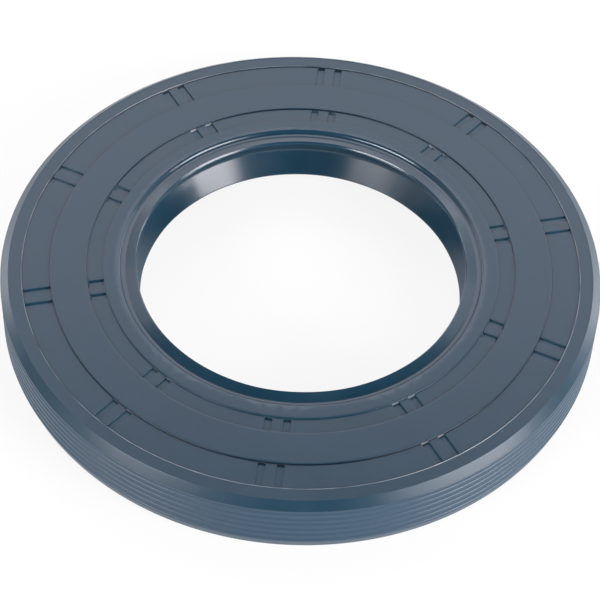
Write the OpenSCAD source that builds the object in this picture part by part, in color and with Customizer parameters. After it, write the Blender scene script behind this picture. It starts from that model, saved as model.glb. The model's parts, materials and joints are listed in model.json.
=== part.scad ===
// Radial shaft seal with a ribbed rubber outside, a sealing lip with its spring and a dust lip.
// The axis is Z. The oil side is at z = 0, and the air side with the dust lip is on top.

/* [Seats] */
// Diameter of the shaft that the lips run on
shaft_d = 50; // [46:0.5:54]
// Diameter of the bore that the seal is pressed into
housing_d = 90; // [86:0.5:100]
// Width of the seal along the shaft
seal_w = 10; // [9:0.1:13]
// How much wider than the bore the ribs are moulded
rib_press = 0.4; // [0.2:0.05:0.6]

/* [Outer wall] */
// Distance from one rib to the next
rib_pitch = 1.2; // [1.1:0.05:1.6]
// Depth of the grooves between the ribs
rib_depth = 0.12; // [0.08:0.01:0.2]
// Radius of the grooves between the ribs
rib_round = 0.8; // [0.7:0.05:0.9]
// Length of the lead-in cone on the air side
back_lead_w = 1.05; // [0.8:0.05:1.4]
// Radial depth of the lead-in cone on the air side
back_lead_in = 1.2; // [0.6:0.05:1.4]
// Length of the lead-in cone on the oil side
front_lead_w = 1.6; // [1:0.05:2]
// Radial depth of the lead-in cone on the oil side
front_lead_in = 0.5; // [0.3:0.05:0.8]
// Bevel on the inner edge of the oil-side rim
rim_bevel = 0.5; // [0.2:0.05:0.8]

/* [Back face] */
// Width of the flat rim around the back face
rim_land_w = 2.05; // [1.6:0.05:2.6]
// How far the rim lies below the rest of the back face
rim_drop = 0.1; // [0.05:0.01:0.15]
// Width of the outer shallow recess
outer_recess_w = 4.2; // [3:0.05:5]
// Width of the inner shallow recess
inner_recess_w = 2.55; // [1.6:0.05:3]
// Width of the flat ring between the inner recess and the dust groove
inner_land_w = 2.35; // [1.6:0.05:3]
// Depth of both recesses
recess_depth = 0.2; // [0.16:0.01:0.3]

/* [Slots] */
// Number of slot pairs in each recess
slot_pairs = 10; // [6:1:14]
// Width of one slot
slot_w = 1.15; // [0.8:0.05:1.4]
// Distance between the middles of the two slots of a pair
slot_spacing = 2.7; // [2:0.1:3.4]
// Depth of the slots below the back face
slot_depth = 0.5; // [0.35:0.05:0.6]
// How far the slots' sloping ends run in at their floor
slot_end_run = 0.2; // [0.05:0.05:0.3]

/* [Dust lip] */
// How far the crest of the dust lip reaches inside the shaft's surface
dust_touch = 0.25; // [0.1:0.05:0.35]
// Height of the bevel above the crest
dust_bevel_h = 0.35; // [0.2:0.05:0.45]
// Lean of the bevel, away from the axis
dust_bevel_angle = 35; // [25:1:40]
// Slope of the outer flank, down from the back face
dust_top_angle = 16; // [14:1:22]
// Lean of the inner flank, away from the axis
dust_under_angle = 31; // [27:1:34]
// Distance from the crest to the outer wall of the dust groove
dust_groove_w = 2.65; // [2.55:0.05:3]
// Depth of the dust groove
dust_groove_depth = 0.44; // [0.4:0.02:0.5]
// Lean of the groove's outer wall, away from the axis
dust_wall_angle = 32; // [28:1:36]
// Radius at the foot and at the top of the groove's outer wall
dust_groove_round = 0.4; // [0.2:0.05:0.4]
// Radius of the valley between the two lips
valley_round = 0.5; // [0.3:0.05:0.7]

/* [Sealing lip] */
// How much smaller than the shaft the free lip is, on the diameter
lip_undersize = 1.2; // [0.8:0.1:1.6]
// Distance from the back face down to the middle of the sealing edge
lip_drop = 6.85; // [6.5:0.05:7]
// Length of the trimmed sealing edge
lip_edge_w = 0.2; // [0.15:0.05:0.3]
// Lean of the lip on the air side, away from the axis
air_angle = 32; // [27:1:34]
// Lean of the lip on the oil side, away from the axis
oil_angle = 45; // [40:1:50]
// Thickness of the flexing part of the lip
membrane_t = 1.3; // [1.1:0.05:1.5]
// Rubber below the spring groove
flange_t = 1.1; // [0.8:0.05:1.3]
// Rubber above the spring groove
shoulder_t = 0.35; // [0.25:0.05:0.5]
// Radius where the flexing part meets the back wall and the lip's head
membrane_round = 0.7; // [0.4:0.05:0.9]

/* [Garter spring] */
// Outer diameter of the coil
coil_d = 2.2; // [1.9:0.05:2.3]
// Diameter of the wire
wire_d = 0.5; // [0.3:0.05:0.6]
// Number of turns around the ring, drawn about four times coarser than the wound wire
spring_turns = 110; // [80:1:130]
// Rubber between the sealing edge and the bottom of the spring groove
lip_head_t = 2.05; // [1.8:0.05:2.3]
// How far the spring's middle sits above the sealing edge
spring_lift = 0.55; // [0.4:0.05:0.7]
// Gap between the coil and its groove
spring_clear = 0.05; // [0.02:0.01:0.08]
// How far the flange below the spring reaches past the spring's middle
flange_reach = 0.3; // [0.1:0.05:0.5]
// How far the shoulder above the spring reaches past the spring's middle
shoulder_reach = 0.7; // [0.6:0.05:0.8]

/* [Stiffening ring] */
// Thickness of the steel
steel_t = 1.2; // [1:0.05:1.3]
// Rubber between the steel and the crests of the ribs
cover_out = 1.2; // [1.1:0.05:1.4]
// Rubber between the steel and the open inside of the seal
cover_in = 0.55; // [0.4:0.05:0.7]
// Rubber between the steel and the back face
cover_back = 1; // [0.9:0.05:1.2]
// Rubber between the steel and the oil-side end
cover_front = 1; // [0.7:0.05:1.3]
// Distance from the dust groove's wall to the inner edge of the steel
steel_setback = 2.4; // [1.8:0.1:3]
// Inner radius of the bend in the steel
steel_bend = 0.7; // [0.5:0.05:1]

/* [Hidden] */
$fn = 180;
rubber_colour = "#2a5068";
steel_colour = "#8a8d90";
spring_colour = "#b4b6b8";
lap = 0.05;

// Outer wall and back face, from the outside in
crest_r = (housing_d + rib_press) / 2;
face_r = crest_r - back_lead_in;
rim_in_r = face_r - rim_land_w;
outer_recess_r = rim_in_r - outer_recess_w;
rim_z = seal_w - rim_drop;
recess_z = seal_w - recess_depth;
rib_zone_top = rim_z - back_lead_w;
rib_zone_w = rib_zone_top - front_lead_w;
rib_grooves = floor(rib_zone_w / rib_pitch);
rib_start = front_lead_w + (rib_zone_w - (rib_grooves - 1) * rib_pitch) / 2;

// Dust lip and its groove
dust_r = shaft_d / 2 - dust_touch;
groove_wall_r = dust_r + dust_groove_w;
groove_floor_z = seal_w - dust_groove_depth;
groove_foot_r = groove_wall_r - dust_groove_depth * tan(dust_wall_angle);
groove_up = [sin(dust_wall_angle), cos(dust_wall_angle)];
crest_p = [dust_r, seal_w - dust_bevel_h];
dust_top_r = dust_r + dust_bevel_h * tan(dust_bevel_angle);
dust_top_run = dust_groove_depth / tan(dust_top_angle);
inner_recess_r = groove_wall_r + inner_land_w;
inner_recess_out_r = inner_recess_r + inner_recess_w;

// Sealing lip
lip_r = (shaft_d - lip_undersize) / 2;
lip_z = seal_w - lip_drop;
edge_top_z = lip_z + lip_edge_w / 2;
edge_low_z = lip_z - lip_edge_w / 2;
valley_h = (crest_p[0] - lip_r + (crest_p[1] - edge_top_z) * tan(dust_under_angle))
    / (tan(air_angle) + tan(dust_under_angle));
valley_p = [lip_r + valley_h * tan(air_angle), edge_top_z + valley_h];
membrane_off = membrane_t / cos(air_angle);

// Spring and its groove in the lip's head
coil_r = coil_d / 2;
seat_r = coil_r + spring_clear;
spring_c = [lip_r + lip_head_t + seat_r, lip_z + spring_lift];
flange_r = spring_c[0] + flange_reach;
shoulder_r = spring_c[0] + shoulder_reach;
head_low_z = spring_c[1] - seat_r - flange_t;
head_top_z = spring_c[1] + seat_r + shoulder_t;
head_corner = shoulder_t;
oil_run = (edge_low_z - head_low_z) * tan(oil_angle);
wind_r = coil_r - wire_d / 2;
wire_sides = 5;
turn_steps = 8;
wire_steps = spring_turns * turn_steps;

// Steel ring and the rubber around it
steel_out_r = crest_r - cover_out;
steel_in_r = steel_out_r - steel_t;
steel_top_z = seal_w - cover_back;
steel_low_z = steel_top_z - steel_t;
steel_bore_r = groove_wall_r + steel_setback;
channel_out_r = steel_in_r - cover_in;
channel_top_z = steel_low_z - cover_in;
channel_round = steel_bend;
root_r = membrane_r(channel_top_z);
waist_p = [membrane_r(head_top_z + shoulder_t), head_top_z + shoulder_t];
web_join_r = root_r + membrane_off;

// Radius of the air-side cone and of the outside of the flexing part, at a height
function air_r(z) = lip_r + (z - edge_top_z) * tan(air_angle);
function membrane_r(z) = air_r(z) + membrane_off;
function unit(v) = v / norm(v);

// Piece between a corner and the arc that rounds it, to be added to a hollow corner or cut off a sharp one.
// The corner's sides run along a and b, with b to the left of a. The piece reaches past them by the lap.
module corner_piece(corner, a, b, r) {
    mid = unit(unit(a) + unit(b));
    half = acos(mid * unit(a));
    centre = corner + mid * r / sin(half);
    reach = r / tan(half);
    difference() {
        polygon([
            corner - mid * lap,
            corner + unit(a) * reach - mid * lap,
            corner + unit(a) * reach,
            centre,
            corner + unit(b) * reach,
            corner + unit(b) * reach - mid * lap
        ]);
        translate(centre)
            circle(r);
    }
}

module outer_section() {
    difference() {
        polygon([
            [channel_out_r + rim_bevel, 0],
            [crest_r - front_lead_in, 0],
            [crest_r, front_lead_w],
            [crest_r, rib_zone_top],
            [face_r, rim_z],
            [rim_in_r, rim_z],
            [rim_in_r, recess_z],
            [outer_recess_r, recess_z],
            [outer_recess_r, seal_w],
            [inner_recess_out_r, seal_w],
            [inner_recess_out_r, recess_z],
            [inner_recess_r, recess_z],
            [inner_recess_r, seal_w],
            [groove_wall_r, seal_w],
            [groove_foot_r, groove_floor_z],
            [root_r, groove_floor_z],
            [root_r, channel_top_z],
            [channel_out_r, channel_top_z],
            [channel_out_r, rim_bevel]
        ]);
        for (i = [0 : rib_grooves - 1])
            translate([crest_r + rib_round - rib_depth, rib_start + i * rib_pitch])
                circle(rib_round);
        corner_piece([groove_wall_r, seal_w], -groove_up, [1, 0], dust_groove_round);
    }
    corner_piece([channel_out_r, channel_top_z], [-1, 0], [0, -1], channel_round);
    corner_piece([groove_foot_r, groove_floor_z], groove_up, [-1, 0], dust_groove_round);
}

module lip_section() {
    difference() {
        polygon([
            valley_p,
            [lip_r, edge_top_z],
            [lip_r, edge_low_z],
            [lip_r + oil_run, head_low_z],
            [flange_r - head_corner, head_low_z],
            [flange_r, head_low_z + head_corner],
            [flange_r, spring_c[1]],
            [shoulder_r, spring_c[1]],
            [shoulder_r, head_top_z - head_corner],
            [shoulder_r - head_corner, head_top_z],
            waist_p,
            [root_r, channel_top_z],
            [web_join_r, channel_top_z],
            [web_join_r, groove_floor_z],
            [dust_top_r + dust_top_run, groove_floor_z],
            [dust_top_r, seal_w],
            crest_p
        ]);
        translate(spring_c)
            circle(seat_r);
    }
    corner_piece(valley_p, crest_p - valley_p, [lip_r, edge_top_z] - valley_p, valley_round);
    corner_piece([root_r, channel_top_z], waist_p - [root_r, channel_top_z], [1, 0], membrane_round);
}

module steel_section() {
    bend_c = [steel_in_r - steel_bend, steel_low_z - steel_bend];
    translate([steel_in_r, cover_front])
        square([steel_t, bend_c[1] - cover_front]);
    translate([steel_bore_r, steel_low_z])
        square([bend_c[0] - steel_bore_r, steel_t]);
    intersection() {
        difference() {
            translate(bend_c)
                circle(steel_bend + steel_t);
            translate(bend_c)
                circle(steel_bend);
        }
        translate(bend_c)
            square(steel_bend + steel_t);
    }
}

// Pairs of parallel-sided slots across one recess, with sloping ends that start at the foot of its walls
module slots(inner_r, outer_r) {
    floor_z = seal_w - slot_depth;
    intersection() {
        rotate_extrude()
            polygon([
                [inner_r + slot_end_run, floor_z],
                [outer_r - slot_end_run, floor_z],
                [outer_r, recess_z],
                [outer_r, seal_w + lap],
                [inner_r, seal_w + lap],
                [inner_r, recess_z]
            ]);
        for (i = [0 : slot_pairs - 1])
            rotate(i * 360 / slot_pairs)
                for (side = [-1, 1])
                    translate([side * slot_spacing / 2 - slot_w / 2, 0, floor_z - lap])
                        cube([slot_w, outer_r + lap, slot_depth + 3 * lap]);
    }
}

module rubber_body() {
    color(rubber_colour)
        difference() {
            rotate_extrude()
                difference() {
                    union() {
                        outer_section();
                        lip_section();
                    }
                    steel_section();
                }
            slots(outer_recess_r, rim_in_r);
            slots(inner_recess_r, inner_recess_out_r);
        }
}

module stiffening_ring() {
    color(steel_colour)
        rotate_extrude()
            steel_section();
}

// Wire wound around a ring: its middle, and the directions out of the ring, around it and across the coil,
// at a share of the way round
function ring_out(t) = [cos(360 * t), sin(360 * t), 0];
function ring_along(t) = [-sin(360 * t), cos(360 * t), 0];
function coil_a(t) = 360 * spring_turns * t;
function coil_out(t) = cos(coil_a(t)) * ring_out(t) + [0, 0, sin(coil_a(t))];
function coil_turn(t) = [0, 0, cos(coil_a(t))] - sin(coil_a(t)) * ring_out(t);
function wire_mid(t) = spring_c[0] * ring_out(t) + [0, 0, spring_c[1]] + wind_r * coil_out(t);
function wire_ahead(t) = (spring_c[0] + wind_r * cos(coil_a(t))) * ring_along(t);
function wire_dir(t) = unit(wire_ahead(t) + spring_turns * wind_r * coil_turn(t));
function wire_point(t, a) =
    wire_mid(t) + wire_d / 2 * (cos(a) * coil_out(t) + sin(a) * cross(wire_dir(t), coil_out(t)));

module garter_spring() {
    points = [
        for (i = [0 : wire_steps - 1], j = [0 : wire_sides - 1])
            wire_point(i / wire_steps, j * 360 / wire_sides)
    ];
    faces = [
        for (i = [0 : wire_steps - 1], j = [0 : wire_sides - 1])
            let (i2 = (i + 1) % wire_steps, j2 = (j + 1) % wire_sides)
                each [
                    [i * wire_sides + j, i2 * wire_sides + j, i2 * wire_sides + j2],
                    [i * wire_sides + j, i2 * wire_sides + j2, i * wire_sides + j2]
                ]
    ];
    color(spring_colour)
        polyhedron(points, faces);
}

rubber_body();
stiffening_ring();
garter_spring();
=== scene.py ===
import json
import math
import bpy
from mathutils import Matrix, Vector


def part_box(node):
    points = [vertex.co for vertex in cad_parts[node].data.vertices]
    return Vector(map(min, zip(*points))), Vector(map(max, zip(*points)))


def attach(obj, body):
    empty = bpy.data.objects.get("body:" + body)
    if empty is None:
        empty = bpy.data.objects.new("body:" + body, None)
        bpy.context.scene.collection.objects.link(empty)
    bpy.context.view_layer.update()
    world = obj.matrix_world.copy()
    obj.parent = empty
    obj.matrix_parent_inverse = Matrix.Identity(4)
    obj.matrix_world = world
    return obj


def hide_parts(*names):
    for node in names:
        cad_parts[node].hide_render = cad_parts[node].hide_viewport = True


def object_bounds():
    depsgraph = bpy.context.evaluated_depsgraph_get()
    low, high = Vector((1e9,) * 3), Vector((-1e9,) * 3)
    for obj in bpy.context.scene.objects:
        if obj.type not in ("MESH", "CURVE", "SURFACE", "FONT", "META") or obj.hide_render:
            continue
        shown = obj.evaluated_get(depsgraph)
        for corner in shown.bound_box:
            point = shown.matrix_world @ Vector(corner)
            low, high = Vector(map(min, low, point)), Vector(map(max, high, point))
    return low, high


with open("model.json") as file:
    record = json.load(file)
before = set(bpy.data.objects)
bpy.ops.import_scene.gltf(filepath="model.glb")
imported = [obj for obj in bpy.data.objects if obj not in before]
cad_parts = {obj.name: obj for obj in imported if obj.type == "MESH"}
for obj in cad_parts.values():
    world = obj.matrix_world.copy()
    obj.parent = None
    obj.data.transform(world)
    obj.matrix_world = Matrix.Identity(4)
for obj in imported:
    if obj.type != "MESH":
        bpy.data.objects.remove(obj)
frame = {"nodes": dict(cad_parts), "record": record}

from types import SimpleNamespace

import bpy
from mathutils import Matrix, Vector, noise

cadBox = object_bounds()
mounts = {mount["name"]: mount for mount in frame["record"]["mounts"]}
mm = 0.001
print("frame loaded, nodes:", ", ".join(sorted(frame["nodes"])))


# mesh helpers; sections and points are in mm

def inMm(corner):
    return Vector(corner) / mm


def newPiece(name, points, faces, material):
    mesh = bpy.data.meshes.new(name)
    mesh.from_pydata([Vector(point) * mm for point in points], [], faces)
    mesh.materials.append(material)
    mesh.shade_smooth()
    piece = bpy.data.objects.new(name, mesh)
    bpy.context.scene.collection.objects.link(piece)
    return piece


def arc(centre, radius, start, end, count):
    # points on an arc in the section, angles in degrees from the r axis towards z
    angles = [math.radians(start + (end - start) * i / count) for i in range(count + 1)]
    return [(centre[0] + radius * math.cos(a), centre[1] + radius * math.sin(a)) for a in angles]


def roundCorner(before, corner, after, radius, stepAngle):
    # the points of the arc that rounds one corner of the section
    corner = Vector(corner)
    toBefore = (Vector(before) - corner).normalized()
    toAfter = (Vector(after) - corner).normalized()
    half = toBefore.angle(toAfter) / 2
    middle = (toBefore + toAfter).normalized()
    centre = corner + middle * radius / math.sin(half)
    first = corner + toBefore * radius / math.tan(half) - centre
    last = corner + toAfter * radius / math.tan(half) - centre
    turn = first.angle(last)
    count = max(2, math.ceil(math.degrees(turn) / stepAngle))
    points = []
    for i in range(count + 1):
        share = i / count
        spread = first * math.sin((1 - share) * turn) + last * math.sin(share * turn)
        points.append(centre + spread / math.sin(turn))
    return points


def turned(r, z, angle):
    # a point of the section, turned around the axis by an angle from +Y
    return (-r * math.sin(angle), r * math.cos(angle), z)


def latheFaces(rings, around, first):
    # faces of a closed section turned around the axis, from the number of its first point
    return [
        (first + i * around + k, first + (i + 1) % rings * around + k,
         first + (i + 1) % rings * around + (k + 1) % around, first + i * around + (k + 1) % around)
        for i in range(rings) for k in range(around)
    ]


# node helpers

def nodeMaterial(name):
    material = bpy.data.materials.new(name)
    material.use_nodes = True
    tree = material.node_tree
    tree.nodes.clear()
    return material, tree


def addNode(tree, kind, inputs=None, **settings):
    node = tree.nodes.new(kind)
    for key, value in settings.items():
        setattr(node, key, value)
    for key, value in (inputs or {}).items():
        if isinstance(value, bpy.types.NodeSocket):
            tree.links.new(value, node.inputs[key])
        else:
            node.inputs[key].default_value = value
    return node


def mathNode(tree, operation, *values):
    return addNode(tree, "ShaderNodeMath", dict(enumerate(values)), operation=operation).outputs[0]


def product(tree, first, second):
    return mathNode(tree, "MULTIPLY", first, second)


def total(tree, first, second):
    return mathNode(tree, "ADD", first, second)


def between(tree, value, low, high):
    # 1 where the value lies between the two, and 0 elsewhere
    return mathNode(tree, "COMPARE", value, (low + high) / 2, (high - low) / 2)


def mapRange(tree, value, fromLow, fromHigh, toLow=0.0, toHigh=1.0):
    inputs = {
        "Value": value, "From Min": fromLow, "From Max": fromHigh, "To Min": toLow, "To Max": toHigh}
    return addNode(tree, "ShaderNodeMapRange", inputs).outputs["Result"]


def scaled(tree, vector, factors):
    node = addNode(tree, "ShaderNodeVectorMath", {0: vector, 1: factors}, operation="MULTIPLY")
    return node.outputs[0]


def noiseOn(tree, place, scale, detail, roughness=0.5):
    inputs = {"Vector": place, "Scale": scale, "Detail": detail, "Roughness": roughness}
    return addNode(tree, "ShaderNodeTexNoise", inputs).outputs["Fac"]


def mixColours(tree, share, first, second):
    inputs = {"Factor": share, 6: first, 7: second}
    return addNode(tree, "ShaderNodeMix", inputs, data_type="RGBA").outputs[2]


def addShader(tree, relief, strength, distance, inputs):
    # the principled shader with its relief, joined to the material's output
    bump = addNode(tree, "ShaderNodeBump", {
        "Height": relief, "Strength": strength, "Distance": distance})
    shader = addNode(tree, "ShaderNodeBsdfPrincipled", {**inputs, "Normal": bump.outputs[0]})
    addNode(tree, "ShaderNodeOutputMaterial", {"Surface": shader.outputs[0]})


# the moulded rubber, one closed skin turned around the axis; sizes in mm, angles in degrees
rubber = {
    "backLead": 1.2,                # across the chamfer on the back
    "chamferBead": (0.1, 0.01),     # raised line along its lower edge: width, fall over half of that
    "ribPitch": 1.2,
    "ribDepth": 0.16,
    "ribRound": 0.45,
    "ribSteps": 6,
    "frontLeadIn": 0.5,
    "frontRound": (0.3, 0.15),      # at the wall and at the front end
    "rimBevel": (0.5, 0.1),         # size and rounding of the front rim's inner edge
    "rimLand": 2.05,
    "rimDrop": 0.1,
    "flash": (0.1, 0.08),           # width and height of the mould's flash lines
    "flashCrown": (0.4, 0.5),       # shares of the width
    "flashLines": ((0.54, 0.92), (0.96, 0.08)),     # shares of width and height, to keep its flank flat
    "flashFoot": 0.03,              # the inner one starts this far below the rim
    "outerFlashCrown": (0.6, 0.3),
    "outerFlashDrop": 0.02,
    "rimFootRound": 0.02,
    "outerRecess": 4.2,
    "innerRecess": 2.55,
    "innerLand": 2.35,
    "recessDepth": 0.2,
    "edgeRound": 0.05,
    "outwardEdgeRound": 0.06,       # the lands' outward edges are softer
    "footRound": 0.03,
    "landEdge": 0.3,                # from a land's edge to where it is dead flat
    "slotPairs": 10,
    "slotWidth": 1.15,
    "slotSpacing": 2.7,
    "slotDepth": 0.5,
    "slotDraft": 0.02,
    "slotEndRun": 0.06,
    "slotSlope": 0.27,              # the inner slots' outer ends are sloped
    "slopeLines": ((0.92, 0.91), (0.2, 0.1)),       # shares of run and depth, to keep the slope flat
    "dustTouch": 0.25,              # the dust lip's grip on the shaft
    "dustBevel": (0.35, 35),        # height, and lean away from the axis
    "dustEdgeRound": (0.06, 0.05),  # at the bevel's foot and top
    "dustTopAngle": 16,
    "dustUnderAngle": 31,
    "dustGroove": (2.65, 0.44),     # width and depth
    "dustGrooveRound": 0.6,
    "dustWallAngle": 32,
    "dustRound": 0.4,
    "shaftRadius": 25,
    "valleyRound": 0.5,
    "airAngle": 32,
    "oilAngle": 45,
    "lipRound": 0.04,
    "membrane": 1.3,
    "membraneRound": 0.7,
    "flange": 1.1,
    "flangeReach": 0.3,
    "flangeRound": (0.08, 0.12),    # at its bevel, and where the lip's oil side starts
    "shoulder": 0.35,
    "shoulderReach": 0.7,
    "shoulderRound": (0.2, 0.08, 0.05),     # where the membrane meets it, and at its two corners
    "springClear": 0.05,
    "seatSteps": 14,
    "steelThickness": 1.2,
    "coverInside": 0.55,
    "steelSetback": 2.4,
    "steelBend": 0.7,
    "bendSteps": (6, 4),
    "hollowLines": 120,
    "soft": 0.02,                   # from an edge to the line that keeps the face beside it flat
    "slotMargin": 0.6,              # how far from the face's edges the lines stop following the slots
    "linesBetweenPairs": 18,
    "bigRound": 0.3,
    "stepAngle": (30, 18.75),       # on roundings below bigRound, and on the others
}


def bodySizes():
    # main radii and heights of the rubber, from the frame and the sizes above
    seat, lip = mounts["housing_seat"], mounts["shaft_lip"]
    seatZ, seatHalf = seat["pos_m"][2] / mm, seat["dims"]["length_mm"] / 2
    lipZ, lipHalf = lip["pos_m"][2] / mm, lip["dims"]["length_mm"] / 2
    crest = seat["dims"]["r_mm"]
    face = inMm(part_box("rubber_body")[1]).z
    faceRadius = crest - rubber["backLead"]
    rimInner = faceRadius - rubber["rimLand"]
    dustWall = rubber["shaftRadius"] - rubber["dustTouch"] + rubber["dustGroove"][0]
    innerRecess = dustWall + rubber["innerLand"]
    return SimpleNamespace(
        crest=crest, ribTop=seatZ + seatHalf, ribBottom=seatZ - seatHalf,
        face=face, rimZ=face - rubber["rimDrop"],
        floor=face - rubber["recessDepth"], slotFloor=face - rubber["slotDepth"],
        faceRadius=faceRadius, rimInner=rimInner, outerRecess=rimInner - rubber["outerRecess"],
        innerRecess=innerRecess, innerRecessOut=innerRecess + rubber["innerRecess"], dustWall=dustWall,
        lipRadius=lip["dims"]["r_mm"], lipLow=lipZ - lipHalf, lipHigh=lipZ + lipHalf)


size = bodySizes()


def lean(angleName):
    # tangent of one of the angles above
    return math.tan(math.radians(rubber[angleName]))


def springRing():
    # ring radius, height and coil radius of the spring, from its box
    low, high = (inMm(corner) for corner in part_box("garter_spring"))
    coil = (high.z - low.z) / 2
    return high.x - coil, (high.z + low.z) / 2, coil


def steelSection():
    # outline of the L-shaped ring, also the hollow in the rubber that holds it
    low, high = (inMm(corner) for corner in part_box("stiffening_ring"))
    thick, bend = rubber["steelThickness"], rubber["steelBend"]
    outerSteps, innerSteps = rubber["bendSteps"]
    bore = size.dustWall + rubber["steelSetback"]
    middle = (high.x - thick - bend, high.z - thick - bend)
    return [
        (bore, high.z), *arc(middle, bend + thick, 90, 0, outerSteps), (high.x, low.z),
        (high.x - thick, low.z), *arc(middle, bend, 0, 90, innerSteps), (bore, high.z - thick)]


# the outline goes clockwise, part by part; each corner is its place, its rounding, and the share of the
# slots' depth that it sinks by, or with a minus the share of the flash line's height that it rises by

def recessStart(r):
    # from a land down into a recess, and on into the slots' inner ends
    run = rubber["slotEndRun"]
    return [
        (r, size.face, rubber["outwardEdgeRound"], 0), (r, size.floor, rubber["footRound"], 0),
        (r + run, size.floor, 0, 1), (r + 3 * run, size.floor, 0, 1),
    ]


def backFace():
    # from the dust lip's wall across both recesses to the foot of the rim
    face, floor = size.face, size.floor
    landEdge, run, slope = rubber["landEdge"], rubber["slotEndRun"], rubber["slotSlope"]
    recessOut = size.innerRecessOut
    return [
        (size.dustWall, face, rubber["dustRound"], 0), (size.innerRecess - landEdge, face, 0, 0),
        *recessStart(size.innerRecess),
        (recessOut - slope - rubber["soft"], floor, 0, 1), (recessOut - slope, floor, 0, 1),
        *[(recessOut - slope * across, floor, 0, deep) for across, deep in rubber["slopeLines"]],
        (recessOut, floor, rubber["footRound"], 0), (recessOut, face, rubber["edgeRound"], 0),
        (recessOut + landEdge, face, 0, 0), (size.outerRecess - landEdge, face, 0, 0),
        *recessStart(size.outerRecess),
        (size.rimInner - 3 * run, floor, 0, 1), (size.rimInner - run, floor, 0, 1),
        (size.rimInner, floor, rubber["rimFootRound"], 0),
    ]


def rimAndChamfer():
    # the rim with a flash line along both edges, and the chamfer down to its bead
    rimZ, inner, outer, crest = size.rimZ, size.rimInner, size.faceRadius, size.crest
    wide, soft = rubber["flash"][0], rubber["soft"]
    outerZ = rimZ - rubber["outerFlashDrop"]
    drop = (rimZ - size.ribTop) / rubber["backLead"]
    bead, fall = rubber["chamferBead"]
    beadZ = size.ribTop + bead * drop
    return [
        (inner, rimZ - rubber["flashFoot"], 0, 0),
        *[(inner + wide * across, rimZ, 0, -1) for across in rubber["flashCrown"]],
        *[(inner + wide * across, rimZ, 0, -high) for across, high in rubber["flashLines"]],
        (inner + wide, rimZ, 0, 0), (inner + wide + soft / 4, rimZ, 0, 0),
        (outer - wide - soft, rimZ, 0, 0), (outer - wide, rimZ, 0, 0),
        *[(outer - wide * across, outerZ, 0, -1) for across in rubber["outerFlashCrown"]],
        (outer + soft, rimZ - soft * drop, 0, 0), (outer + 2 * soft, rimZ - 2 * soft * drop, 0, 0),
        (crest - bead, beadZ, 0, 0), (crest - bead / 2, beadZ - fall, 0, 0),
        (crest, size.ribTop + soft, 0, 0), (crest, size.ribTop - 2 * soft, 0, 0),
    ]


def ribbedWall():
    # grooves between the ribs, from the back to the front
    pitch, depth, radius = rubber["ribPitch"], rubber["ribDepth"], rubber["ribRound"]
    length = size.ribTop - size.ribBottom
    grooves = math.floor(length / pitch)
    start = size.ribBottom + (length - (grooves - 1) * pitch) / 2
    half = math.degrees(math.acos((radius - depth) / radius))
    edge = radius * math.sin(math.radians(half)) + rubber["soft"]
    points = []
    for i in reversed(range(grooves)):
        z = start + i * pitch
        points.append((size.crest, z + edge))
        middle = (size.crest + radius - depth, z)
        points += arc(middle, radius, 180 - half, 180 + half, rubber["ribSteps"])
        points.append((size.crest, z - edge))
    return [(r, z, 0, 0) for r, z in points]


def membraneRadius(z):
    # outside of the membrane, which runs beside the lip's air side
    thick = rubber["membrane"] / math.cos(math.radians(rubber["airAngle"]))
    return size.lipRadius + (z - size.lipHigh) * lean("airAngle") + thick


def oilSide():
    # around the front end and up into the channel, to the membrane's root
    steelHigh = inMm(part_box("stiffening_ring")[1])
    cover = rubber["steelThickness"] + rubber["coverInside"]
    channelOut, channelTop = steelHigh.x - cover, steelHigh.z - cover
    wallRound, endRound = rubber["frontRound"]
    bevel, bevelRound = rubber["rimBevel"]
    return [
        (size.crest, size.ribBottom, wallRound, 0),
        (size.crest - rubber["frontLeadIn"], 0, endRound, 0),
        (channelOut + bevel, 0, bevelRound, 0), (channelOut, bevel, bevelRound, 0),
        (channelOut, channelTop, rubber["steelBend"], 0),
        (membraneRadius(channelTop), channelTop, rubber["membraneRound"], 0),
    ]


def sealingHead():
    # the shoulder, the spring's seat, the flange that keeps the spring in, and the lip's edge
    ringR, ringZ, coil = springRing()
    seatR = coil + rubber["springClear"]
    flangeR, shoulderR = ringR + rubber["flangeReach"], ringR + rubber["shoulderReach"]
    bevel = rubber["shoulder"]
    low, high = ringZ - seatR - rubber["flange"], ringZ + seatR + bevel
    mouthStart = math.degrees(math.acos(rubber["shoulderReach"] / seatR))
    mouthEnd = 360 - math.degrees(math.acos(rubber["flangeReach"] / seatR))
    seat = arc((ringR, ringZ), seatR, mouthStart, mouthEnd, rubber["seatSteps"])
    oilRun = (size.lipLow - low) * lean("oilAngle")
    meetRound, topRound, mouthRound = rubber["shoulderRound"]
    flangeRound, oilRound = rubber["flangeRound"]
    return [
        (membraneRadius(high + bevel), high + bevel, meetRound, 0),
        (shoulderR - bevel, high, topRound, 0), (shoulderR, high - bevel, mouthRound, 0),
        *[(r, z, 0, 0) for r, z in seat],
        (flangeR, low + bevel, flangeRound, 0), (flangeR - bevel, low, flangeRound, 0),
        (size.lipRadius + oilRun, low, oilRound, 0),
        (size.lipRadius, size.lipLow, rubber["lipRound"], 0),
        (size.lipRadius, size.lipHigh, rubber["lipRound"], 0),
    ]


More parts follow.
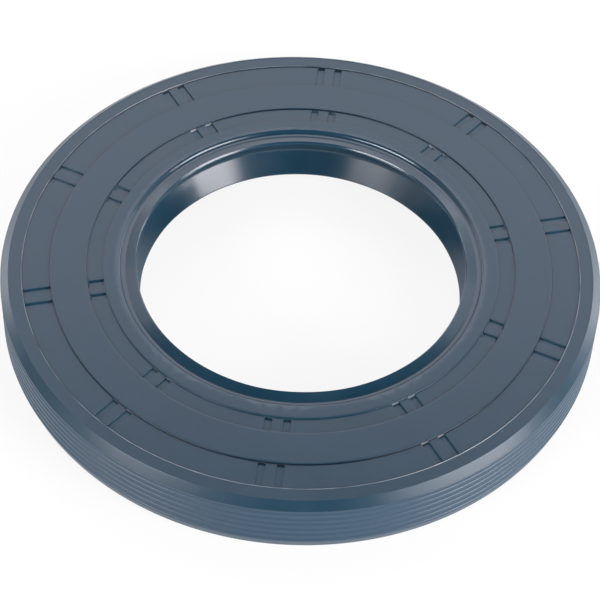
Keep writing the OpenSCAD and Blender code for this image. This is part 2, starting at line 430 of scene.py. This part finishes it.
def dustLip():
    # from the valley between the lips over the dust lip's edge and through the groove behind it
    dustR = rubber["shaftRadius"] - rubber["dustTouch"]
    bevelHigh, bevelLean = rubber["dustBevel"]
    bevelZ = size.face - bevelHigh
    dustTop = dustR + bevelHigh * math.tan(math.radians(bevelLean))
    grooveDepth = rubber["dustGroove"][1]
    grooveFloor = size.face - grooveDepth
    topRun, wallRun = grooveDepth / lean("dustTopAngle"), grooveDepth * lean("dustWallAngle")
    spread = dustR - size.lipRadius + (bevelZ - size.lipHigh) * lean("dustUnderAngle")
    rise = spread / (lean("airAngle") + lean("dustUnderAngle"))
    footRound, topRound = rubber["dustEdgeRound"]
    return [
        (size.lipRadius + rise * lean("airAngle"), size.lipHigh + rise, rubber["valleyRound"], 0),
        (dustR, bevelZ, footRound, 0), (dustTop, size.face, topRound, 0),
        (dustTop + topRun, grooveFloor, rubber["dustGrooveRound"], 0),
        (size.dustWall - wallRun, grooveFloor, rubber["dustRound"], 0),
    ]


def rubberSection():
    corners = backFace() + rimAndChamfer() + ribbedWall() + oilSide() + sealingHead() + dustLip()
    smallStep, bigStep = rubber["stepAngle"]
    points = []
    for i, (r, z, rounding, share) in enumerate(corners):
        before, after = corners[i - 1][:2], corners[(i + 1) % len(corners)][:2]
        if rounding:
            step = smallStep if rounding < rubber["bigRound"] else bigStep
            points += [(*point, share) for point in roundCorner(before, (r, z), after, rounding, step)]
        else:
            points.append((r, z, share))
    return points


def slotLines():
    # lines across one pair of slots: distance from the pair's middle, and depth below the recess
    deep = rubber["slotDepth"] - rubber["recessDepth"]
    edge, foot, draft = rubber["edgeRound"], rubber["footRound"], rubber["slotDraft"]
    edgeAngles, footAngles = map(math.radians, (0, 30, 60, 90)), map(math.radians, (0, 45, 90))
    side = [(-edge * (1 - math.sin(a)), edge * (1 - math.cos(a))) for a in edgeAngles]
    side += [(draft + foot * (1 - math.cos(a)), deep - foot * (1 - math.sin(a))) for a in footAngles]
    half = rubber["slotWidth"] / 2
    slot = [(x - half, depth) for x, depth in side] + [(half - x, depth) for x, depth in reversed(side)]
    middles = (-rubber["slotSpacing"] / 2, rubber["slotSpacing"] / 2)
    return [(middle + x, depth) for middle in middles for x, depth in slot]


def turnRing(r, lines, alongSlots):
    # angles from +Y of all the lines on a ring of this radius, even where there are no slots
    sector = math.tau / rubber["slotPairs"]
    count = rubber["linesBetweenPairs"]
    if alongSlots:
        across = [math.asin(x / r) for x, depth in lines]
        gap = (sector - across[-1] + across[0]) / (count + 1)
        across += [across[-1] + gap * (i + 1) for i in range(count)]
    else:
        step = sector / (len(lines) + count)
        across = [(i - (len(lines) - 1) / 2) * step for i in range(len(lines) + count)]
    return [pair * sector + angle for pair in range(rubber["slotPairs"]) for angle in across]


# the unevenness of the moulding, each wave by its fineness and its strength
uneven = {
    "flashUsual": 0.9,              # share of its full height that the flash line usually has
    "flashLeast": 0.1,
    "flashWaves": ((6.0, 0.4), (42.0, 0.56)),
    "lipWave": (3.0, 0.05),         # strength in mm, only on the free lips
    "lipFree": (29, 25),            # radius where they start to be free, and where they are quite free
    "skinWave": (14.0, 0.008),      # in mm and only inwards
    "alongAxis": 0.3,               # how fast the waves change along the axis
    "flashPlace": 0.7,              # height of the circle on which its waves are read
}


def flashHeight(angle):
    # the flash line comes and goes around the ring
    spot = Vector((math.cos(angle), math.sin(angle), uneven["flashPlace"]))
    wave = sum(noise.noise(spot * fine) * strength for fine, strength in uneven["flashWaves"])
    return rubber["flash"][1] * max(uneven["flashLeast"], min(1.0, uneven["flashUsual"] + wave))


def handMade(r, z, angle):
    # how far the skin stands out from its true radius
    spot = Vector((math.cos(angle), math.sin(angle), z * uneven["alongAxis"]))
    lipFine, lipStrength = uneven["lipWave"]
    skinFine, skinStrength = uneven["skinWave"]
    starts, full = uneven["lipFree"]
    free = max(0.0, min(1.0, (starts - r) / (starts - full)))
    lipShift = noise.noise(spot * lipFine) * lipStrength * free
    return lipShift + (noise.noise(spot * skinFine) - 1) * skinStrength


def buildRubber(material):
    section = rubberSection()
    lines = slotLines()
    depths = ([depth for x, depth in lines] + [0] * rubber["linesBetweenPairs"]) * rubber["slotPairs"]
    margin = rubber["slotMargin"]
    points = []
    for r, z, share in section:
        alongSlots = size.dustWall + margin < r < size.faceRadius - margin and z > size.slotFloor
        for angle, depth in zip(turnRing(r, lines, alongSlots), depths):
            low = z - (flashHeight(angle) if share < 0 else depth) * share
            points.append(turned(r + handMade(r, z, angle), low, angle))
    faces = latheFaces(len(section), len(depths), 0)

    hollow, around = steelSection(), rubber["hollowLines"]
    faces += [tuple(reversed(face)) for face in latheFaces(len(hollow), around, len(points))]
    points += [turned(r, z, k * math.tau / around) for r, z in hollow for k in range(around)]
    piece = newPiece("moulded_rubber", points, faces, material)
    weighted = piece.modifiers.new("flatFacesStayFlat", "WEIGHTED_NORMAL")
    weighted.mode = "FACE_AREA"
    weighted.weight = 50
    print("rubber:", len(section), "rings,", len(depths), "lines,", 2 * len(faces), "triangles")
    return piece


# rubber finish: satin moulded surface with turning marks of the mould, slight mottling and a few specks
rubberLook = {
    "colour": (0.0065, 0.031, 0.053, 1),
    "paleColour": (0.0105, 0.037, 0.061, 1),
    "mottling": (0.35, 0.65),       # noise values of the two colours
    "speckColour": (0.09, 0.13, 0.17, 1),
    "speckSize": 1.6,               # mm, as all the sizes below
    "speckShare": 0.035,            # of all cells of that size
    "speckEdge": (0.04, 0.12),
    "speckStrength": 0.5,
    "wallColour": (0.0125, 0.039, 0.067, 1),    # the ribbed wall is paler
    "wallFade": 0.1,                # above and below the chamfer's lower edge
    "slotColour": (0.011, 0.047, 0.078, 1),     # painted light: the slots' floors are paler to make up for the shade inside the slots
    "slotEnds": (0.45, 0.15),       # it stops short of the innermost and the outermost ends by this
    "slotFade": 0.08,               # it starts below the recess and is full above the slots' floor
    "slotColourDepth": 0.1,         # and ends this far below it
    "cornerColour": (0.003, 0.011, 0.021, 1),   # painted shade along the foot of the recesses' walls, where shade falls
    "cornerReach": ((-0.14, 0.06), (-0.04, 0.16), (-0.16, 0.04)),   # on both sides of each wall
    "cornerDrop": 0.05,             # from this far below the slots' floor to this far below the face
    "flashColour": (0.12, 0.16, 0.19, 1),       # painted highlight along the mould's thin flash line, in streaks
    "flashDust": ((0.35, 0.55), (0.2, 1.0)),    # noise values and their strengths
    "blotchSize": 9.0,
    "grainSize": 0.22,
    "grainHeight": 0.0016,
    "markPitch": 0.35,              # turning marks of the mould
    "markHeight": 0.0006,
    "streakStretch": (0.22, 0.22, 1.6),
    "streakHeight": 0.004,
    "rough": (0.28, 0.38),
    "roughNoise": (0.3, 0.7),
    "grainInRough": 0.3,            # share of grain, the rest is blotches
    "lipRough": 0.13,               # the lips are smoother than the face
    "lipFade": (0.2, 0.9),          # it ends between these distances outside the dust lip's wall
    "chamferRough": 0.31,
    "wallRough": 0.4,
    "wallFrom": (-0.05, 0.1),       # both start between these distances from the back face's edge
}


def rubberPatterns(tree, place, radius):
    look = rubberLook
    marks = addNode(tree, "ShaderNodeTexNoise", {
        "W": radius, "Scale": 1 / look["markPitch"], "Detail": 2.0}, noise_dimensions="1D")
    cells = addNode(tree, "ShaderNodeTexVoronoi", {"Vector": place, "Scale": 1 / look["speckSize"]})
    lot = addNode(tree, "ShaderNodeSeparateColor", {0: cells.outputs["Color"]}).outputs[0]
    picked = mathNode(tree, "GREATER_THAN", lot, 1 - look["speckShare"])
    spot = mapRange(tree, cells.outputs["Distance"], *look["speckEdge"], 1.0, 0.0)
    return SimpleNamespace(
        marks=marks.outputs["Fac"], specks=product(tree, picked, spot),
        blotch=noiseOn(tree, place, 1 / look["blotchSize"], 4.0, 0.6),
        grain=noiseOn(tree, place, 1 / look["grainSize"], 3.0, 0.55),
        streaks=noiseOn(tree, scaled(tree, place, look["streakStretch"]), 1.0, 3.0))


def rubberColour(tree, pattern, radius, z, belowChamfer):
    look = rubberLook
    colour = mixColours(
        tree, mapRange(tree, pattern.blotch, *look["mottling"]), look["colour"], look["paleColour"])
    specks = product(tree, pattern.specks, look["speckStrength"])
    colour = mixColours(tree, specks, colour, look["speckColour"])

    wall = product(tree, belowChamfer, mapRange(tree, radius, size.faceRadius - 1, size.faceRadius))
    colour = mixColours(tree, wall, colour, look["wallColour"])

    # painted light: a paler colour on the slots' floors stands in for the light that the shade in the
    # slots takes away
    innerEnd, outerEnd = look["slotEnds"]
    paintedSlotLight = between(tree, radius, size.innerRecess + innerEnd, size.rimInner - outerEnd)
    paintedSlotLight = product(tree, paintedSlotLight, mapRange(
        tree, z, size.floor - look["slotFade"], size.slotFloor + look["slotFade"]))
    lowest = size.slotFloor - look["slotColourDepth"]
    paintedSlotLight = product(tree, paintedSlotLight, mathNode(tree, "GREATER_THAN", z, lowest))
    colour = mixColours(tree, paintedSlotLight, colour, look["slotColour"])

    # painted shade: a darker colour along the foot of each recess wall, where shade falls
    corners = 0.0
    walls = (size.innerRecessOut, size.outerRecess, size.rimInner)
    for wallRadius, (inwards, outwards) in zip(walls, look["cornerReach"]):
        ring = between(tree, radius, wallRadius + inwards, wallRadius + outwards)
        corners = mathNode(tree, "MAXIMUM", corners, ring)
    drop = look["cornerDrop"]
    corners = product(tree, corners, between(tree, z, size.slotFloor - drop, size.face - drop))
    colour = mixColours(tree, corners, colour, look["cornerColour"])

    # painted highlight: paler streaks along the flash line stand in for the light that catches it
    soft = rubber["soft"]
    flash = between(tree, radius, size.rimInner - soft, size.rimInner + rubber["flash"][0] + soft)
    fromNoise, toStrength = look["flashDust"]
    flash = product(tree, flash, mapRange(tree, pattern.streaks, *fromNoise, *toStrength))
    flash = product(tree, flash, mathNode(tree, "GREATER_THAN", z, size.rimZ - soft))
    return mixColours(tree, flash, colour, look["flashColour"])


def rubberRoughness(tree, pattern, radius, belowChamfer):
    look = rubberLook
    least, most = look["rough"]
    usual = (least + most) / 2
    grain = product(tree, pattern.grain, look["grainInRough"])
    blotch = product(tree, pattern.blotch, 1 - look["grainInRough"])
    rough = mapRange(tree, total(tree, blotch, grain), *look["roughNoise"], least, most)
    lipInner, lipOuter = (size.dustWall + step for step in look["lipFade"])
    lips = mapRange(tree, radius, lipInner, lipOuter, look["lipRough"] - least, 0.0)
    outside = mapRange(tree, radius, *(size.faceRadius + step for step in look["wallFrom"]))
    onChamfer, onWall = look["chamferRough"] - usual, look["wallRough"] - usual
    change = mapRange(tree, belowChamfer, 0.0, 1.0, onChamfer, onWall)
    return total(tree, total(tree, rough, lips), product(tree, change, outside))


def rubberRelief(tree, pattern):
    look = rubberLook
    grain = product(tree, pattern.grain, look["grainHeight"])
    marks = product(tree, pattern.marks, look["markHeight"])
    streaks = product(tree, pattern.streaks, look["streakHeight"])
    return total(tree, total(tree, grain, marks), streaks)


def rubberMaterial():
    material, tree = nodeMaterial("mouldedRubber")
    metres = addNode(tree, "ShaderNodeTexCoord").outputs["Object"]
    place = scaled(tree, metres, (1 / mm, 1 / mm, 1 / mm))
    axes = addNode(tree, "ShaderNodeSeparateXYZ", {0: place})
    x, y, z = (axes.outputs[name] for name in "XYZ")
    flat = addNode(tree, "ShaderNodeCombineXYZ", {"X": x, "Y": y}).outputs[0]
    radius = addNode(tree, "ShaderNodeVectorMath", {0: flat}, operation="LENGTH").outputs["Value"]
    fade = rubberLook["wallFade"]
    belowChamfer = mapRange(tree, z, size.ribTop + fade, size.ribTop - fade)
    pattern = rubberPatterns(tree, place, radius)
    addShader(tree, rubberRelief(tree, pattern), 1.0, mm, {
        "Base Color": rubberColour(tree, pattern, radius, z, belowChamfer),
        "Roughness": rubberRoughness(tree, pattern, radius, belowChamfer),
        "Specular IOR Level": 0.5, "IOR": 1.5})
    return material


# metal finish: pressed sheet and drawn wire; all scales are in waves per metre
metalLook = {
    "sheetColour": (0.36, 0.36, 0.35, 1),
    "sheetRough": 0.42,
    "sheetGrain": (400, 400, 3000),
    "wireColour": (0.58, 0.57, 0.55, 1),
    "wireRough": 0.26,
    "wireGrain": (2500, 2500, 2500),
    "stainColour": (0.22, 0.21, 0.20, 1),
    "stainScale": 180.0,
    "stainNoise": (0.45, 0.8),
    "stainMost": 0.6,
    "grainNoise": (0.3, 0.7),
    "roughSpread": (-0.06, 0.1),
    "reliefStrength": 0.25,
    "reliefHeight": 0.02 * mm,
}


def metalMaterial(name, kind):
    look = metalLook
    material, tree = nodeMaterial(name)
    place = addNode(tree, "ShaderNodeTexCoord").outputs["Object"]
    grain = noiseOn(tree, scaled(tree, place, look[kind + "Grain"]), 1.0, 4.0)
    blotch = noiseOn(tree, place, look["stainScale"], 3.0)
    stain = mapRange(tree, blotch, *look["stainNoise"], 0.0, look["stainMost"])
    smoother, rougher = (look[kind + "Rough"] + step for step in look["roughSpread"])
    addShader(tree, grain, look["reliefStrength"], look["reliefHeight"], {
        "Base Color": mixColours(tree, stain, look[kind + "Colour"], look["stainColour"]),
        "Metallic": 1.0, "Roughness": mapRange(tree, grain, *look["grainNoise"], smoother, rougher)})
    return material


# the garter spring, wound close as the real one, sizes in mm
spring = {
    "wire": 0.38,
    "pitch": 0.4,
    "stepsPerTurn": 18,
    "wireSides": 6,
}


def buildSpring(material):
    ringR, ringZ, coil = springRing()
    turns = round(math.tau * ringR / spring["pitch"])
    steps = turns * spring["stepsPerTurn"]
    sides = spring["wireSides"]
    wireR = spring["wire"] / 2
    windR = coil - wireR
    points = []
    for i in range(steps):
        around = math.tau * i / steps
        wind = around * turns
        out = Vector((math.cos(around), math.sin(around), 0))
        along = Vector((-math.sin(around), math.cos(around), 0))
        across = out * math.cos(wind) + Vector((0, 0, math.sin(wind)))
        middle = out * ringR + Vector((0, 0, ringZ)) + across * windR
        ahead = along * (ringR + windR * math.cos(wind))
        ahead += (Vector((0, 0, math.cos(wind))) - out * math.sin(wind)) * windR * turns
        beside = ahead.normalized().cross(across)
        for j in range(sides):
            a = math.tau * j / sides
            points.append(middle + (across * math.cos(a) + beside * math.sin(a)) * wireR)
    faces = [
        (i * sides + j, (i + 1) % steps * sides + j,
         (i + 1) % steps * sides + (j + 1) % sides, i * sides + (j + 1) % sides)
        for i in range(steps) for j in range(sides)
    ]
    print("spring:", turns, "turns,", 2 * len(faces), "triangles")
    return newPiece("wound_spring", points, faces, material)


# camera, set to the view of the photo
view = {
    "azimuth": 4.54,
    "elevation": 48.89,
    "distance": 353.9,      # mm from the middle of the back face
    "focal": 2350.0,        # in pixels of a picture 600 wide
    "picture": 600,
    "faceAt": (301.35, 261.02),     # pixel where the middle of the back face lies
    "roll": 2.43,
    "sensor": 36,
    "clipStart": 0.01,
}


def towards(azimuth, elevation):
    a, e = math.radians(azimuth), math.radians(elevation)
    return Vector((math.sin(a) * math.cos(e), -math.cos(a) * math.cos(e), math.sin(e)))


def placeCamera():
    faceMiddle = Vector((0, 0, cadBox[1].z))
    back = towards(view["azimuth"], view["elevation"])
    right = Vector((0, 0, 1)).cross(back).normalized()
    up = back.cross(right)
    roll = math.radians(view["roll"])
    rolled = right * math.cos(roll) + up * math.sin(roll)
    up = up * math.cos(roll) - right * math.sin(roll)
    right = rolled
    middle = view["picture"] / 2
    panRight = (view["faceAt"][0] - middle) / view["focal"]
    panUp = (middle - view["faceAt"][1]) / view["focal"]
    backAxis = (back + right * panRight + up * panUp).normalized()
    right = up.cross(backAxis).normalized()
    up = backAxis.cross(right)
    camera = bpy.data.cameras.new("camera")
    camera.sensor_width = view["sensor"]
    camera.lens = view["focal"] / view["picture"] * camera.sensor_width
    camera.clip_start = view["clipStart"]
    holder = bpy.data.objects.new("camera", camera)
    holder.matrix_world = Matrix((right, up, backAxis)).transposed().to_4x4()
    holder.location = faceMiddle + back * view["distance"] * mm
    bpy.context.scene.collection.objects.link(holder)
    bpy.context.scene.camera = holder


# lamps: a soft box at the front right and one at the front left, each in four strips of their own
# brightness, a wide screen of six panels behind, and smaller ones at the sides and near the floor;
# azimuths are counted from the camera, and both spans are in degrees
lamps = {
    "boxRight": {"across": (42, 79), "upwards": (18, 27), "brightness": 20.0, "tint": "box"},
    "boxRightTop": {"across": (38, 71), "upwards": (27, 43), "brightness": 5.4, "tint": "box"},
    "boxRightLow": {"across": (44, 68), "upwards": (7, 18), "brightness": 11.0, "tint": "box"},
    "boxRightFoot": {"across": (42, 76), "upwards": (0.5, 7), "brightness": 24.0, "tint": "box"},
    "boxLeft": {"across": (-64, -30), "upwards": (19, 27), "brightness": 24.5, "tint": "box"},
    "boxLeftTop": {"across": (-63, -32), "upwards": (27, 43), "brightness": 1.6, "tint": "box"},
    "boxLeftLow": {"across": (-50, -37), "upwards": (7, 19), "brightness": 1.6, "tint": "lowBox"},
    "boxLeftFoot": {"across": (-60, -36), "upwards": (0.5, 7), "brightness": 17.0, "tint": "lowBox"},
    "screenRight": {"across": (106, 138), "upwards": (42, 54), "brightness": 2.0, "tint": "screen"},
    "screenMiddle": {"across": (156, 204), "upwards": (42, 55), "brightness": 2.95, "tint": "middle"},
    "screenLeft": {"across": (222, 254), "upwards": (42, 54), "brightness": 1.9, "tint": "screen"},
    "screenRightLow": {"across": (108, 156), "upwards": (2, 42), "brightness": 1.3, "tint": "screen"},
    "screenMiddleLow": {"across": (156, 204), "upwards": (2, 42), "brightness": 1.45, "tint": "middle"},
    "screenLeftLow": {"across": (204, 252), "upwards": (2, 42), "brightness": 1.2, "tint": "screen"},
    "footRight": {"across": (112, 142), "upwards": (1, 13), "brightness": 4.8, "tint": "side"},
    "footLeft": {"across": (-143, -113), "upwards": (1, 12), "brightness": 3.8, "tint": "side"},
    "sideRight": {"across": (86, 106), "upwards": (18, 34), "brightness": 0.7, "tint": "side"},
    "sideLeft": {"across": (-104, -76), "upwards": (20, 38), "brightness": 0.7, "tint": "side"},
}
tints = {
    "box": (1.0, 0.965, 1.0),
    "lowBox": (1.0, 0.96, 1.0),
    "screen": (1.0, 0.97, 1.05),
    "middle": (1.0, 0.97, 1.06),
    "side": (1.0, 0.97, 1.0),
}
lampDistance = 0.9      # metres
sky = {"colour": (0.93, 0.96, 1.0), "strength": 0.08}


def spanSize(span):
    return 2 * lampDistance * math.tan(math.radians(span[1] - span[0]) / 2)


def placeLamps():
    for name, lamp in lamps.items():
        data = bpy.data.lights.new(name, "AREA")
        data.shape = "RECTANGLE"
        data.size, data.size_y = spanSize(lamp["across"]), spanSize(lamp["upwards"])
        data.energy = lamp["brightness"] * math.pi * data.size * data.size_y
        data.color = tints[lamp["tint"]]
        holder = bpy.data.objects.new(name, data)
        direction = towards(view["azimuth"] + sum(lamp["across"]) / 2, sum(lamp["upwards"]) / 2)
        holder.location = direction * lampDistance
        holder.rotation_mode = "QUATERNION"
        holder.rotation_quaternion = direction.to_track_quat("Z", "Y")
        holder.visible_camera = False
        bpy.context.scene.collection.objects.link(holder)
    world = bpy.data.worlds.new("studio")
    world.use_nodes = True
    background = world.node_tree.nodes["Background"]
    background.inputs["Color"].default_value = (*sky["colour"], 1)
    background.inputs["Strength"].default_value = sky["strength"]
    bpy.context.scene.world = world


# floor: white sweep that rises into a wall all around, seen white but with the part's shadow; in mm
sweep = {
    "flat": 1600,
    "bend": 350,
    "bendSteps": 12,
    "wall": 40,
    "around": 96,
    "colour": (0.9, 0.9, 0.9, 1),
    "shadowKept": 0.15,
    "fleckScale": 900.0,    # waves over the whole sweep
    "fleckStrength": 0.1,
    "fleckHeight": 0.1,
}


def paperMaterial():
    material, tree = nodeMaterial("paperSweep")
    rays = addNode(tree, "ShaderNodeLightPath")
    seen = mathNode(tree, "MAXIMUM", rays.outputs["Is Camera Ray"], rays.outputs["Is Glossy Ray"])
    seen = mathNode(tree, "MAXIMUM", seen, rays.outputs["Is Transmission Ray"])
    fleck = addNode(tree, "ShaderNodeTexNoise", {"Scale": sweep["fleckScale"], "Detail": 3.0})
    bump = addNode(tree, "ShaderNodeBump", {
        "Height": fleck.outputs["Fac"], "Strength": sweep["fleckStrength"],
        "Distance": sweep["fleckHeight"] * mm})
    paper = addNode(tree, "ShaderNodeBsdfDiffuse", {
        "Color": sweep["colour"], "Normal": bump.outputs[0]})
    white = addNode(tree, "ShaderNodeEmission", {"Color": (1, 1, 1, 1), "Strength": 1.0})
    share = product(tree, seen, 1 - sweep["shadowKept"])
    mixed = addNode(tree, "ShaderNodeMixShader", {0: share, 1: paper.outputs[0], 2: white.outputs[0]})
    addNode(tree, "ShaderNodeOutputMaterial", {"Surface": mixed.outputs[0]})
    return material


def buildFloor(material):
    # a round flat floor with a rounded foot to the wall
    flat, bend, around = sweep["flat"], sweep["bend"], sweep["around"]
    profile = arc((flat, bend), bend, -90, 0, sweep["bendSteps"])
    profile.append((flat + bend, bend + sweep["wall"]))
    angles = [k * math.tau / around for k in range(around)]
    points = [(0, 0, 0)]
    points += [(r * math.cos(a), r * math.sin(a), z) for r, z in profile for a in angles]
    faces = [(0, 1 + k, 1 + (k + 1) % around) for k in range(around)]
    for i in range(len(profile) - 1):
        low, high = 1 + i * around, 1 + (i + 1) * around
        faces += [
            (low + k, high + k, high + (k + 1) % around, low + (k + 1) % around) for k in range(around)]
    floor = newPiece("floor", points, faces, material)


placeCamera()
print("camera placed")

rubberPiece = buildRubber(rubberMaterial())
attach(rubberPiece, "root")
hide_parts("rubber_body")

springPiece = buildSpring(metalMaterial("drawnWire", "wire"))
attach(springPiece, "root")
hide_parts("garter_spring")

steel = frame["nodes"]["stiffening_ring"]
steel.data.materials.clear()
steel.data.materials.append(metalMaterial("pressedSheet", "sheet"))
print("steel ring dressed")

buildFloor(paperMaterial())
placeLamps()
bpy.context.scene.view_settings.view_transform = "Standard"
print("floor and lamps placed")
